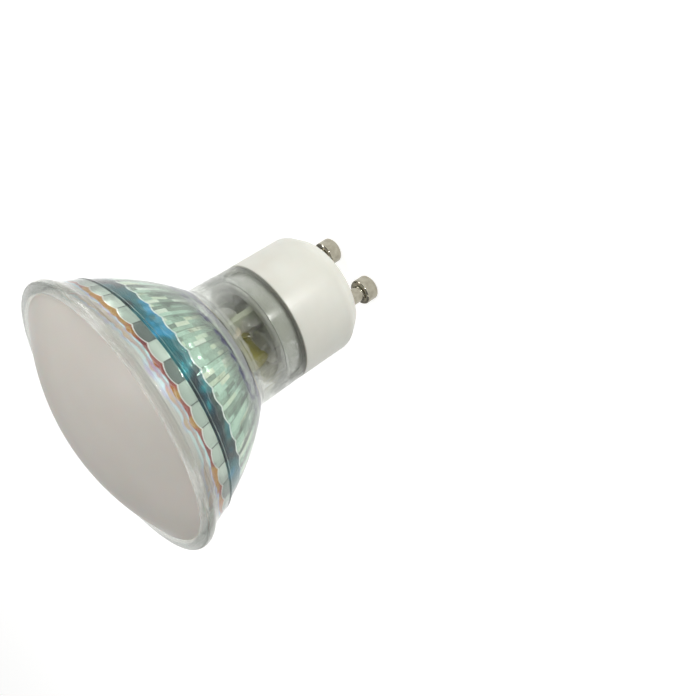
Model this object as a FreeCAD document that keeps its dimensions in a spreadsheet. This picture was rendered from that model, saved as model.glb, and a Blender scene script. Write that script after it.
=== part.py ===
"""GU10 spotlight bulb: a glass reflector lamp with a milky front cover and two twist-lock pins.

Millimetres. The origin is the centre of the base's end face, +Z runs along the lamp's axis towards
the front cover, and the two pins stand on the X axis. The driver board stands in the YZ plane.
"""
import FreeCAD
import Part
import math
import os

import Sketcher

SIZES = {
    # Base cap: a chamfered end, a slightly drafted wall and the sleeve that enters the glass neck
    "base_height": 13.5,
    "base_draft": 0.1,
    "base_chamfer_width": 2.05,
    "base_chamfer_height": 2.7,
    "base_floor": 3.0,
    "sleeve_length": 4.0,
    "sleeve_wall": 1.4,
    # Contact pins, riveted through the floor of the base
    "pin_pitch": 10.0,
    "pin_stem_radius": 1.4,
    "pin_stem_length": 4.6,
    "pin_head_radius": 2.35,
    "pin_head_length": 2.9,
    "pin_head_chamfer": 0.3,
    "pin_hole_gap": 0.03,
    "pin_rivet_radius": 1.75,
    "pin_rivet_height": 0.9,
    # Glass neck and the shoulder inside its top that carries the LED board
    "neck_bore_radius": 10.0,
    "neck_wall": 1.25,
    "neck_draft": 0.25,
    "neck_length": 10.8,
    "neck_fillet": 1.3,
    "shoulder_width": 1.1,
    "shoulder_depth": 1.8,
    # Glass bowl, from the shoulder to the ridge ring
    "bowl_height": 14.5,
    "bowl_root_wall": 1.3,
    "bowl_arc_radius": 44.0,
    "ridge_height": 0.4,
    "ridge_width": 0.5,
    "ridge_step": 0.8,
    # Glass collar and rim, from the rim's edge inwards
    "rim_radius": 25.0,
    "rim_height": 1.2,
    "rim_bevel_width": 1.5,
    "rim_bevel_height": 1.8,
    "rim_face_width": 1.9,
    "rim_face_rise": 0.4,
    "collar_height": 3.5,
    "collar_slope": 1.3,
    "collar_bore_slope": 1.3,
    # Flutes pressed into the inside of the glass
    "flute_count": 36,
    "flute_radius": 3.6,
    "flute_depth": 0.36,
    "flute_taper": 0.8,
    "flute_top_drop": 4.2,
    "flute_root_rise": 0.8,
    "short_flute_radius": 4.2,
    "short_flute_depth": 0.42,
    "short_flute_length": 0.5,
    "short_flute_rise": 0.1,
    # Milky front cover, let into the rim
    "cover_gap": 0.12,
    "cover_seat_width": 1.5,
    "cover_seat_depth": 2.0,
    "cover_edge_height": 1.3,
    "cover_shoulder_width": 0.6,
    "cover_shoulder_rise": 0.3,
    "cover_dome_height": 6.1,
    "cover_wall": 1.5,
    # Glue lines
    "neck_glue": 0.2,
    "sleeve_bare": 0.6,
    "board_glue": 0.2,
    "cover_glue": 0.2,
    # LED board and its packages
    "board_gap": 0.15,
    "board_thickness": 1.2,
    "led_width": 2.8,
    "led_length": 3.5,
    "led_height": 0.8,
    "led_window_radius": 1.15,
    "led_window_depth": 0.25,
    "led_gap": 0.35,
    "led_edge_margin": 1.55,
    # Driver board, which stands on the floor of the base, and the clearances on it
    "driver_thickness": 1.0,
    "driver_edge_gap": 0.3,
    "driver_top_gap": 1.8,
    "driver_margin": 0.2,
    "solder_gap": 0.05,
    "part_clearance": 0.4,
    # Parts on the driver board
    "input_can_radius": 3.15,
    "output_can_radius": 2.4,
    "output_can_length": 7.0,
    "can_crimp_depth": 0.3,
    "can_crimp_place": 1.2,
    "can_bevel": 0.3,
    "coil_radius": 2.6,
    "coil_length": 5.0,
    "coil_flange": 0.7,
    "coil_waist": 0.4,
    "rectifier_length": 4.7,
    "rectifier_width": 3.8,
    "rectifier_height": 2.5,
    "chip_length": 4.9,
    "chip_width": 3.9,
    "chip_height": 1.5,
    "fuse_radius": 1.2,
    "fuse_length": 5.6,
    "fuse_end_length": 1.1,
    "fuse_waist": 0.2,
    "flat_part_length": 3.2,
    "flat_part_width": 1.6,
    "flat_part_height": 0.55,
    "flat_part_place": 5.6,
    # Leads
    "mains_lead_radius": 0.5,
    "mains_lead_rise": 3.4,
    "mains_lead_bend": 1.4,
    "led_lead_radius": 0.4,
    "led_lead_reach": 1.0,
    "led_lead_drop": 2.0,
    "led_lead_bend": 0.6,
    "led_lead_place": 5.2,
    "led_lead_stub": 0.4,
}
OUTER_LEDS = 8
INNER_LEDS = 4


class Formula(str):
    """A spreadsheet formula that can be added to, multiplied and so on to make a longer one."""

    def __add__(self, other):
        return Formula(f"({self} + {other})")

    def __sub__(self, other):
        return Formula(f"({self} - {other})")

    def __mul__(self, other):
        return Formula(f"({self} * {other})")

    def __truediv__(self, other):
        return Formula(f"({self} / {other})")

    def __neg__(self):
        return Formula(f"(0 - {self})")


def root(formula):
    """Square root of a formula."""
    return Formula(f"sqrt({formula})")


def angle_of(rise, run):
    """Angle in degrees of a slope with this rise and run."""
    return Formula(f"atan2({rise}; {run})")


doc = FreeCAD.newDocument("gu10_spotlight_bulb")
sheet = doc.addObject("Spreadsheet::Sheet", "sizes")
for row, (name, number) in enumerate(SIZES.items(), start=1):
    sheet.set(f"A{row}", name)
    sheet.set(f"B{row}", str(number))
    sheet.setAlias(f"B{row}", name)
doc.recompute()

size = {name: Formula(f"sizes.{name}") for name in SIZES}


def value(formula):
    """The number that a formula gives with the sheet's present sizes."""
    result = sheet.evalExpression(str(formula))
    return float(getattr(result, "Value", result))


def new_body(label):
    """A new body whose label names its piece."""
    return doc.addObject("PartDesign::Body", label)


def origin_feature(body, role):
    """A plane or axis of a body's own origin."""
    return [item for item in body.Origin.OriginFeatures if item.Role == role][0]


def attach(item, body, role):
    """Lay a sketch or a primitive on one of its body's origin planes."""
    item.AttachmentSupport = (origin_feature(body, role), "")
    item.MapMode = "FlatFace"


def bind(item, **formulas):
    """Bind properties to formulas; two underscores in a name stand for a dot."""
    for name, formula in formulas.items():
        item.setExpression(name.replace("__", "."), str(formula))


def pin_down(sketch, kind, geometry, point, formula):
    """Hold one point of a sketch at a bound distance from the sketch's axis."""
    number = value(formula)
    if abs(number) < 1e-9:
        axis = -2 if kind == "DistanceX" else -1
        sketch.addConstraint(Sketcher.Constraint("PointOnObject", geometry, point, axis))
        return
    index = sketch.addConstraint(Sketcher.Constraint(kind, -1, 1, geometry, point, number))
    label = f"{kind.lower()}_{geometry}_{point}"
    sketch.renameConstraint(index, label)
    sketch.setExpression(f"Constraints.{label}", str(formula))


def bound_radius(sketch, geometry, formula):
    """Bind the radius of a sketch's arc or circle."""
    index = sketch.addConstraint(Sketcher.Constraint("Radius", geometry, value(formula)))
    label = f"radius_{geometry}"
    sketch.renameConstraint(index, label)
    sketch.setExpression(f"Constraints.{label}", str(formula))


def arc_between(start, end, radius, side):
    """An arc from start to end; side +1 bulges to the right of the way from start to end, -1 to the left."""
    way = end - start
    middle = (start + end) * 0.5
    across = FreeCAD.Vector(way.y, -way.x, 0).normalize() * side
    sag = radius - math.sqrt(radius ** 2 - (way.Length / 2) ** 2)
    return Part.ArcOfCircle(start, middle + across * sag, end)


def outline(body, plane, corners, arcs=None):
    """A closed sketch through corners given as formulas; arcs maps a side's number to its radius and side."""
    sketch = body.newObject("Sketcher::SketchObject", f"{body.Name}_outline")
    attach(sketch, body, plane)
    points = [FreeCAD.Vector(value(across), value(along), 0) for across, along in corners]
    arcs = arcs or {}
    sides = []
    swapped = set()
    for i, start in enumerate(points):
        end = points[(i + 1) % len(points)]
        if i in arcs:
            radius, side = arcs[i]
            bow = sketch.addGeometry(arc_between(start, end, value(radius), side), False)
            sides.append(bow)
            if (sketch.getPoint(bow, 1) - start).Length > (sketch.getPoint(bow, 2) - start).Length:
                swapped.add(i)
        else:
            sides.append(sketch.addGeometry(Part.LineSegment(start, end), False))
    first = [2 if i in swapped else 1 for i in range(len(sides))]
    last = [1 if i in swapped else 2 for i in range(len(sides))]
    for i, side in enumerate(sides):
        after = (i + 1) % len(sides)
        meeting = Sketcher.Constraint("Coincident", side, last[i], sides[after], first[after])
        sketch.addConstraint(meeting)
    for i, (across, along) in enumerate(corners):
        pin_down(sketch, "DistanceX", sides[i], first[i], across)
        pin_down(sketch, "DistanceY", sides[i], first[i], along)
    for i, (radius, side) in arcs.items():
        bound_radius(sketch, sides[i], radius)
    return sketch


def turned(label, corners, arcs=None):
    """A body turned about its Z axis from an outline of (radius, height) corners."""
    body = new_body(label)
    sketch = outline(body, "XZ_Plane", corners, arcs)
    turn = body.newObject("PartDesign::Revolution", f"{label}_turn")
    turn.Profile = sketch
    turn.ReferenceAxis = (sketch, ["V_Axis"])
    turn.Angle = 360.0
    turn.Refine = False
    return body


def drilled(body, radius, places):
    """Drill round holes along Z right through a body, at (x, y) places given as formulas."""
    sketch = body.newObject("Sketcher::SketchObject", f"{body.Name}_holes")
    attach(sketch, body, "XY_Plane")
    for x, y in places:
        centre = FreeCAD.Vector(value(x), value(y), 0)
        circle = Part.Circle(centre, FreeCAD.Vector(0, 0, 1), value(radius))
        ring = sketch.addGeometry(circle, False)
        pin_down(sketch, "DistanceX", ring, 3, x)
        pin_down(sketch, "DistanceY", ring, 3, y)
        bound_radius(sketch, ring, radius)
    holes = body.newObject("PartDesign::Pocket", f"{body.Name}_drilling")
    holes.Profile = sketch
    holes.Type = "ThroughAll"
    holes.Midplane = True
    return holes


def brick(label, low, high):
    """A box between two corners given as formulas."""
    box = doc.addObject("Part::Box", label)
    bind(box, Length=high[0] - low[0], Width=high[1] - low[1], Height=high[2] - low[2])
    bind(box, Placement__Base__x=low[0], Placement__Base__y=low[1], Placement__Base__z=low[2])
    return box


# Heights along the lamp's axis, and radii that several pieces share
neck_bottom = size["base_height"]
shoulder = neck_bottom + size["neck_length"]
ridge = shoulder + size["bowl_height"]
rim_back = ridge + size["collar_height"] + size["rim_bevel_height"]
rim_front = rim_back + size["rim_height"]
face_inner = rim_front + size["rim_face_rise"]
cover_seat = face_inner - size["cover_seat_depth"]
sleeve_radius = size["neck_bore_radius"] - size["neck_glue"]
cavity_radius = sleeve_radius - size["sleeve_wall"]
sleeve_top = neck_bottom + size["sleeve_length"]
recess_radius = size["neck_bore_radius"] + size["shoulder_width"]
board_radius = recess_radius - size["board_gap"]
board_bottom = shoulder + size["board_glue"]
board_top = board_bottom + size["board_thickness"]
pin_places = {"left": size["pin_pitch"] / -2, "right": size["pin_pitch"] / 2}
driver_face = size["driver_thickness"] / 2
driver_top = shoulder - size["driver_top_gap"]
mains_lead_z = size["base_floor"] + size["pin_rivet_height"] + size["mains_lead_rise"]
led_lead_x = -(driver_face + size["led_lead_reach"])
led_lead_places = {"positive": -size["led_lead_place"], "negative": size["led_lead_place"]}
nought = Formula("0")
axis = nought

# Inside of the bowl: an arc from the edge of the LED board's recess to the step under the collar
bowl_root = (recess_radius, shoulder + size["shoulder_depth"])
seat_radius = size["rim_radius"] - size["rim_face_width"]
cover_radius = seat_radius - size["cover_gap"]
collar_lip = (seat_radius - size["cover_seat_width"], cover_seat)
step_radius = collar_lip[0] - size["collar_bore_slope"]
bowl_lip = (step_radius - size["ridge_step"], ridge)


def glass_reflector():
    """One pressed-glass piece: neck, bowl, ridge ring, collar and rim, with flutes inside."""
    neck_radius = size["neck_bore_radius"] + size["neck_wall"]
    neck_top_radius = neck_radius + size["neck_draft"]
    bowl_foot = recess_radius + size["bowl_root_wall"]
    collar_radius = size["rim_radius"] - size["rim_bevel_width"]
    ridge_radius = collar_radius - size["collar_slope"]
    bowl_edge = ridge_radius - size["ridge_height"]
    ridge_back = ridge - size["ridge_width"]
    body = turned(
        "glass_reflector",
        [
            (size["neck_bore_radius"], neck_bottom),
            (neck_radius, neck_bottom),
            (neck_top_radius, shoulder - size["neck_fillet"]),
            (bowl_foot, shoulder),
            (bowl_edge, ridge_back),
            (ridge_radius, ridge - size["ridge_width"] / 2),
            (ridge_radius, ridge + size["ridge_width"] / 2),
            (collar_radius, ridge + size["collar_height"]),
            (size["rim_radius"], rim_back),
            (size["rim_radius"], rim_front),
            (seat_radius, face_inner),
            (seat_radius, cover_seat),
            collar_lip,
            (step_radius, ridge),
            bowl_lip,
            bowl_root,
            (recess_radius, shoulder),
            (size["neck_bore_radius"], shoulder),
        ],
        {3: (size["bowl_arc_radius"], 1), 14: (size["bowl_arc_radius"], -1)},
    )
    cutters = long_flute(body) + short_flute(body)
    pattern = body.newObject("PartDesign::PolarPattern", "flutes")
    pattern.Originals = cutters
    pattern.Axis = (origin_feature(body, "Z_Axis"), [""])
    pattern.Angle = 360.0
    pattern.Refine = False
    for cutter in cutters:
        cutter.Refine = False
    bind(pattern, Occurrences=size["flute_count"])
    body.Tip = pattern
    return body


def long_flute(body):
    """One groove down the inside of the bowl: a ring-shaped cutter with a ball at its upper end."""
    across = bowl_lip[0] - bowl_root[0]
    along = bowl_lip[1] - bowl_root[1]
    chord = root(across * across + along * along)
    to_centre = root(size["bowl_arc_radius"] * size["bowl_arc_radius"] - chord * chord / 4)
    arc_x = (bowl_root[0] + bowl_lip[0]) / 2 - to_centre * along / chord
    arc_z = (bowl_root[1] + bowl_lip[1]) / 2 + to_centre * across / chord
    # The cutter's centre is shifted up the bowl, so that the groove grows deeper towards its top
    centre_x = arc_x + size["flute_taper"] * across / chord
    centre_z = arc_z + size["flute_taper"] * along / chord
    top_z = ridge - size["flute_top_drop"]
    top_rise = top_z - arc_z
    top_x = arc_x + root(size["bowl_arc_radius"] * size["bowl_arc_radius"] - top_rise * top_rise)
    top_reach = root((top_x - centre_x) * (top_x - centre_x) + (top_z - centre_z) * (top_z - centre_z))
    path = top_reach + size["flute_depth"] - size["flute_radius"]
    first = angle_of(bowl_root[1] + size["flute_root_rise"] - centre_z, bowl_root[0] - centre_x)
    last = angle_of(top_z - centre_z, top_x - centre_x)
    ring = body.newObject("PartDesign::SubtractiveTorus", "long_flute_ring")
    attach(ring, body, "XZ_Plane")
    ring.AttachmentOffset = FreeCAD.Placement(FreeCAD.Vector(), FreeCAD.Rotation(FreeCAD.Vector(0, 0, 1), 1))
    bind(ring, Radius1=path, Radius2=size["flute_radius"], Angle3=last - first)
    bind(ring, AttachmentOffset__Base__x=centre_x, AttachmentOffset__Base__y=centre_z)
    bind(ring, AttachmentOffset__Rotation__Angle=first)
    ball = body.newObject("PartDesign::SubtractiveSphere", "long_flute_end")
    attach(ball, body, "XZ_Plane")
    bind(ball, Radius=size["flute_radius"])
    bind(ball, AttachmentOffset__Base__x=centre_x + path * (top_x - centre_x) / top_reach)
    bind(ball, AttachmentOffset__Base__y=centre_z + path * (top_z - centre_z) / top_reach)
    return [ring, ball]


def short_flute(body):
    """One groove up the inside of the collar: a leaning rod with a ball at its upper end."""
    across = collar_lip[0] - step_radius
    along = collar_lip[1] - ridge
    slope = root(across * across + along * along)
    inset = size["short_flute_radius"] - size["short_flute_depth"]
    start_x = step_radius + size["short_flute_rise"] * across / slope - inset * along / slope
    start_z = ridge + size["short_flute_rise"] * along / slope + inset * across / slope
    rod = body.newObject("PartDesign::SubtractiveCylinder", "short_flute_rod")
    attach(rod, body, "XY_Plane")
    rod.AttachmentOffset = FreeCAD.Placement(FreeCAD.Vector(), FreeCAD.Rotation(FreeCAD.Vector(0, 1, 0), 1))
    bind(rod, Radius=size["short_flute_radius"], Height=size["short_flute_length"])
    bind(rod, AttachmentOffset__Base__x=start_x, AttachmentOffset__Base__z=start_z)
    bind(rod, AttachmentOffset__Rotation__Angle=angle_of(across, along))
    ball = body.newObject("PartDesign::SubtractiveSphere", "short_flute_end")
    attach(ball, body, "XY_Plane")
    bind(ball, Radius=size["short_flute_radius"])
    bind(ball, AttachmentOffset__Base__x=start_x + size["short_flute_length"] * across / slope)
    bind(ball, AttachmentOffset__Base__z=start_z + size["short_flute_length"] * along / slope)
    return [rod, ball]


def front_cover():
    """A milky domed cover: a short rim that sits on the glue in the seat, and a spherical cap."""
    foot = cover_seat + size["cover_glue"]
    edge = foot + size["cover_edge_height"]
    brow = edge + size["cover_shoulder_rise"]
    brow_radius = cover_radius - size["cover_shoulder_width"]
    inner_radius = cover_radius - size["cover_wall"]
    crown = brow + size["cover_dome_height"]
    hollow_rise = crown - size["cover_wall"] - edge
    dome = (brow_radius * brow_radius + size["cover_dome_height"] * size["cover_dome_height"])
    hollow = (inner_radius * inner_radius + hollow_rise * hollow_rise)
    turned(
        "front_cover",
        [
            (inner_radius, foot),
            (cover_radius, foot),
            (cover_radius, edge),
            (brow_radius, brow),
            (axis, crown),
            (axis, crown - size["cover_wall"]),
            (inner_radius, edge),
        ],
        {3: (dome / size["cover_dome_height"] / 2, 1), 5: (hollow / hollow_rise / 2, -1)},
    )


def base_cap():
    """A moulded cup with a chamfered end, two pin holes and a sleeve that enters the neck."""
    top_radius = size["neck_bore_radius"] + size["neck_wall"]
    waist_radius = top_radius - size["base_draft"]
    end_radius = waist_radius - size["base_chamfer_width"]
    body = turned(
        "base_cap",
        [
            (axis, axis),
            (end_radius, axis),
            (waist_radius, size["base_chamfer_height"]),
            (top_radius, neck_bottom),
            (sleeve_radius, neck_bottom),
            (sleeve_radius, sleeve_top),
            (cavity_radius, sleeve_top),
            (cavity_radius, size["base_floor"]),
            (axis, size["base_floor"]),
        ],
    )
    drilled(body, size["pin_stem_radius"] + size["pin_hole_gap"], [(x, axis) for x in pin_places.values()])


def contact_pin(side):
    """A turned pin: a chamfered head, a thinner stem through the floor and a rivet head inside."""
    tip = -(size["pin_stem_length"] + size["pin_head_length"])
    head_back = -size["pin_stem_length"]
    bevel = size["pin_head_chamfer"]
    rivet_top = size["base_floor"] + size["pin_rivet_height"]
    body = turned(
        f"contact_pin_{side}",
        [
            (axis, tip),
            (size["pin_head_radius"] - bevel, tip),
            (size["pin_head_radius"], tip + bevel),
            (size["pin_head_radius"], head_back - bevel),
            (size["pin_head_radius"] - bevel, head_back),
            (size["pin_stem_radius"], head_back),
            (size["pin_stem_radius"], size["base_floor"]),
            (size["pin_rivet_radius"], size["base_floor"]),
            (size["pin_rivet_radius"], rivet_top),
            (axis, rivet_top),
        ],
    )
    bind(body, Placement__Base__x=pin_places[side])


def glue_ring(label, inner, outer, bottom, top):
    """A ring of set adhesive."""
    turned(label, [(inner, bottom), (outer, bottom), (outer, top), (inner, top)])


def led_board():
    """A round aluminium-cored board with two holes for the LED leads."""
    body = turned(
        "led_board",
        [(axis, board_bottom), (board_radius, board_bottom), (board_radius, board_top), (axis, board_top)],
    )
    hole = size["led_lead_radius"] + size["solder_gap"]
    drilled(body, hole, [(led_lead_x, y) for y in led_lead_places.values()])


def led(number, ring_radius, turn):
    """A white LED package with a round window, its length across the radius."""
    package = brick(
        f"led_{number:02d}_package",
        (-size["led_width"] / 2, -size["led_length"] / 2, nought),
        (size["led_width"] / 2, size["led_length"] / 2, size["led_height"]),
    )
    window = doc.addObject("Part::Cone", f"led_{number:02d}_window")
    floor = size["led_height"] - size["led_window_depth"]
    bind(window, Radius1=size["led_window_radius"] - size["led_window_depth"])
    bind(window, Radius2=size["led_window_radius"], Height=size["led_window_depth"])
    bind(window, Placement__Base__z=floor)
    piece = doc.addObject("Part::Cut", f"led_{number:02d}")
    piece.Base = package
    piece.Tool = window
    piece.Placement = FreeCAD.Placement(FreeCAD.Vector(), FreeCAD.Rotation(FreeCAD.Vector(0, 0, 1), turn))
    bind(piece, Placement__Base__x=ring_radius * math.cos(math.radians(turn)))
    bind(piece, Placement__Base__y=ring_radius * math.sin(math.radians(turn)))
    bind(piece, Placement__Base__z=board_top)


def leds():
    """Two rings of LED packages, each turned by half a step, clear of the leads' holes."""
    outer_ring = board_radius - size["led_edge_margin"] - size["led_width"] / 2
    inner_ring = (size["led_width"] + size["led_length"]) / 2 + size["led_gap"]
    places = [(outer_ring, OUTER_LEDS, place) for place in range(OUTER_LEDS)]
    places += [(inner_ring, INNER_LEDS, place) for place in range(INNER_LEDS)]
    for number, (ring_radius, count, place) in enumerate(places, start=1):
        led(number, ring_radius, 360 / count * (place + 0.5))


def driver_board():
    """A narrow board that stands on the floor of the base, between the walls of its cavity."""
    half = cavity_radius - size["driver_edge_gap"]
    brick("driver_board", (-driver_face, -half, size["base_floor"]), (driver_face, half, driver_top))


def can(label, radius, length):
    """An electrolytic capacitor's can along its own Z axis, with bevelled ends and a crimp."""
    bevel = size["can_bevel"]
    crimp = size["can_crimp_place"]
    depth = size["can_crimp_depth"]
    return turned(
        label,
        [
            (axis, nought),
            (radius - bevel, nought),
            (radius, bevel),
            (radius, crimp - depth),
            (radius - depth, crimp),
            (radius, crimp + depth),
            (radius, length - bevel),
            (radius - bevel, length),
            (axis, length),
        ],
    )


def coil():
    """A drum choke along its own Z axis: two flanges and the winding between them."""
    waist = size["coil_radius"] - size["coil_waist"]
    return turned(
        "inductor",
        [
            (axis, nought),
            (size["coil_radius"], nought),
            (size["coil_radius"], size["coil_flange"]),
            (waist, size["coil_flange"]),
            (waist, size["coil_length"] - size["coil_flange"]),
            (size["coil_radius"], size["coil_length"] - size["coil_flange"]),
            (size["coil_radius"], size["coil_length"]),
            (axis, size["coil_length"]),
        ],
    )


def fuse_resistor():
    """A moulded resistor along its own Z axis, slimmer between its two end caps."""
    waist = size["fuse_radius"] - size["fuse_waist"]
    return turned(
        "fuse_resistor",
        [
            (axis, nought),
            (size["fuse_radius"], nought),
            (size["fuse_radius"], size["fuse_end_length"]),
            (waist, size["fuse_end_length"] + size["fuse_waist"]),
            (waist, size["fuse_length"] - size["fuse_end_length"] - size["fuse_waist"]),
            (size["fuse_radius"], size["fuse_length"] - size["fuse_end_length"]),
            (size["fuse_radius"], size["fuse_length"]),
            (axis, size["fuse_length"]),
        ],
    )


def lay(body, turn_axis, angle, x, y, z):
    """Turn a piece about an axis through its own origin and put that origin at a bound place."""
    body.Placement = FreeCAD.Placement(FreeCAD.Vector(), FreeCAD.Rotation(FreeCAD.Vector(*turn_axis), angle))
    bind(body, Placement__Base__x=x, Placement__Base__y=y, Placement__Base__z=z)


def driver_parts():
    """The parts on the two faces of the driver board, from the mains leads at the bottom to the LED leads."""
    near = driver_face + size["solder_gap"]
    low = mains_lead_z + size["mains_lead_radius"] + size["part_clearance"]
    coil_z = driver_top - size["driver_margin"] - size["coil_radius"]
    can_top = coil_z - size["coil_radius"] - size["part_clearance"]
    lay(coil(), (0, 1, 0), -90, -near, nought, coil_z)
    input_can = can("input_capacitor", size["input_can_radius"], can_top - low)
    lay(input_can, (0, 0, 1), 0, -(near + size["input_can_radius"]), nought, low)
    output_can = can("output_capacitor", size["output_can_radius"], size["output_can_length"])
    output_z = driver_top - size["driver_margin"] - size["output_can_radius"]
    output_x = near + size["output_can_radius"]
    lay(output_can, (1, 0, 0), -90, output_x, size["output_can_length"] / -2, output_z)
    half = size["part_clearance"] / 2
    fuse_y = -(half + size["rectifier_width"] + size["part_clearance"] + size["fuse_radius"])
    lay(fuse_resistor(), (0, 0, 1), 0, near + size["fuse_radius"], fuse_y, low)
    brick(
        "bridge_rectifier",
        (driver_face, -(half + size["rectifier_width"]), low),
        (driver_face + size["rectifier_height"], -half, low + size["rectifier_length"]),
    )
    brick(
        "driver_chip",
        (driver_face, half, low),
        (driver_face + size["chip_height"], half + size["chip_width"], low + size["chip_length"]),
    )
    flat_parts(low)


def flat_parts(low):
    """Four flat parts in two columns beside the input capacitor."""
    columns = {-1: ("sense_resistor_1", "start_resistor"), 1: ("sense_resistor_2", "filter_capacitor")}
    for side, labels in columns.items():
        centre = size["flat_part_place"] * side
        bottom = low
        for label in labels:
            brick(
                label,
                (-(driver_face + size["flat_part_height"]), centre - size["flat_part_width"] / 2, bottom),
                (-driver_face, centre + size["flat_part_width"] / 2, bottom + size["flat_part_length"]),
            )
            bottom = bottom + size["flat_part_length"] + size["part_clearance"]


def lead(label, radius, bend, upright_x, board_x, y, bend_z, end_z):
    """A round lead: level from the driver board's face, then one bend, then upright to its end."""
    body = new_body(label)
    bind(body, Placement__Base__y=y)
    outwards = 1 if value(upright_x) > value(board_x) else -1
    upwards = 1 if value(end_z) > value(bend_z) else -1
    run_end = upright_x - bend * outwards
    rise_start = bend_z + bend * upwards
    path = body.newObject("Sketcher::SketchObject", f"{label}_path")
    attach(path, body, "XZ_Plane")
    corners = [(upright_x, end_z), (upright_x, rise_start), (run_end, bend_z), (board_x, bend_z)]
    points = [FreeCAD.Vector(value(x), value(z), 0) for x, z in corners]
    upright = path.addGeometry(Part.LineSegment(points[0], points[1]), False)
    level = path.addGeometry(Part.LineSegment(points[2], points[3]), False)
    corner = arc_between(points[1], points[2], value(bend), -outwards * upwards)
    turn = path.addGeometry(corner, False)
    from_upright = 1 if (path.getPoint(turn, 1) - points[1]).Length < value(bend) / 2 else 2
    path.addConstraint(Sketcher.Constraint("Coincident", upright, 2, turn, from_upright))
    path.addConstraint(Sketcher.Constraint("Coincident", level, 1, turn, 3 - from_upright))
    for side, first in ((upright, 0), (level, 2)):
        for point in (1, 2):
            x, z = corners[first + point - 1]
            pin_down(path, "DistanceX", side, point, x)
            pin_down(path, "DistanceY", side, point, z)
    bound_radius(path, turn, bend)
    section = body.newObject("Sketcher::SketchObject", f"{label}_section")
    attach(section, body, "XY_Plane")
    bind(section, AttachmentOffset__Base__z=end_z)
    circle = Part.Circle(FreeCAD.Vector(value(upright_x), 0, 0), FreeCAD.Vector(0, 0, 1), value(radius))
    ring = section.addGeometry(circle, False)
    pin_down(section, "DistanceX", ring, 3, upright_x)
    pin_down(section, "DistanceY", ring, 3, nought)
    bound_radius(section, ring, radius)
    wire = body.newObject("PartDesign::AdditivePipe", f"{label}_wire")
    wire.Profile = section
    wire.Spine = (path, ["Edge1", "Edge2", "Edge3"])
    return body


def leads():
    """Two stout leads from the pins to the board, and two thin ones up through the LED board."""
    rivet_top = size["base_floor"] + size["pin_rivet_height"]
    for side, way in (("left", -1), ("right", 1)):
        lead(
            f"mains_lead_{side}",
            size["mains_lead_radius"],
            size["mains_lead_bend"],
            pin_places[side],
            driver_face * way,
            nought,
            mains_lead_z,
            rivet_top,
        )
    for name, y in led_lead_places.items():
        lead(
            f"led_lead_{name}",
            size["led_lead_radius"],
            size["led_lead_bend"],
            led_lead_x,
            -driver_face,
            y,
            driver_top - size["led_lead_drop"],
            board_top + size["led_lead_stub"],
        )


def check(pieces):
    """Stop if any object failed or any piece is empty, invalid or not one solid."""
    failed = [item.Name for item in doc.Objects if "Invalid" in item.State or "Error" in item.State]
    if failed:
        raise RuntimeError(f"objects that failed: {failed}")
    for piece in pieces:
        shape = piece.Shape
        if shape.isNull() or not shape.isValid() or len(shape.Solids) != 1:
            raise RuntimeError(f"{piece.Label} is not one valid solid")


glass_reflector()
front_cover()
base_cap()
for side in pin_places:
    contact_pin(side)
neck_glue_top = sleeve_top - size["sleeve_bare"]
glue_ring("neck_adhesive", sleeve_radius, size["neck_bore_radius"], neck_bottom, neck_glue_top)
glue_ring("board_adhesive", size["neck_bore_radius"], board_radius, shoulder, board_bottom)
glue_ring("cover_adhesive", collar_lip[0], cover_radius, cover_seat, cover_seat + size["cover_glue"])
led_board()
leds()
driver_board()
driver_parts()
leads()
doc.recompute()

used = {tool for item in doc.Objects if item.TypeId == "Part::Cut" for tool in (item.Base, item.Tool)}
kinds = ("PartDesign::Body", "Part::Box", "Part::Cut")
pieces = [item for item in doc.Objects if item.TypeId in kinds and item not in used]
check(pieces)
os.makedirs("parts", exist_ok=True)
for piece in pieces:
    piece.Shape.exportStep(f"parts/{piece.Label}.step")
print(f"{len(pieces)} pieces written")
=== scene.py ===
"""Looks of the GU10 spotlight bulb: clear fluted glass with a coloured coat, milky cover and white base.

Every shape is a grid of points worked out with numpy from a profile (radius, height) in millimetres, turned
about the lamp's axis. The frame's own pieces give the outer sizes.
"""

import math

import bmesh
import bpy
import numpy as np
from mathutils import Matrix, Vector


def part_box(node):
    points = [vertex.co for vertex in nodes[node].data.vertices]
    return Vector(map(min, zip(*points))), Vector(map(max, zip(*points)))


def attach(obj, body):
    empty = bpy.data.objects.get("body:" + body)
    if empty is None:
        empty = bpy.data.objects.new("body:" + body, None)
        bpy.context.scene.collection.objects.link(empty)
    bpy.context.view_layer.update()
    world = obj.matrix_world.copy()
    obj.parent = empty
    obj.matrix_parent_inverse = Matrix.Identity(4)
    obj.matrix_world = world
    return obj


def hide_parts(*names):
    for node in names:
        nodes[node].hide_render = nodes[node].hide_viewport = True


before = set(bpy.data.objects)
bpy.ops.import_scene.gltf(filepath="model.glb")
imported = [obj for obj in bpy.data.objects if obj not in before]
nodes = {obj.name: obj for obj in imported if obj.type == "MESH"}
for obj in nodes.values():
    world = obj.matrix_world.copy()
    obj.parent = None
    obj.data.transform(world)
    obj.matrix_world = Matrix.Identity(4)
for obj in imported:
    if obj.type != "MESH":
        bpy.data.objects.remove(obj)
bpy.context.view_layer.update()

MM = 0.001
TURN = 2 * math.pi


def box_mm(node):
    """A node's lowest and highest corners, in millimetres."""
    low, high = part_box(node)
    return np.array(low) / MM, np.array(high) / MM


# Sizes read from the frame, in millimetres
glass_low, glass_high = box_mm("glass_reflector")
cover_low, cover_high = box_mm("front_cover")
base_high = box_mm("base_cap")[1]
pin_low = box_mm("contact_pin_right")[0]
glue_low = box_mm("board_adhesive")[0]

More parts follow.
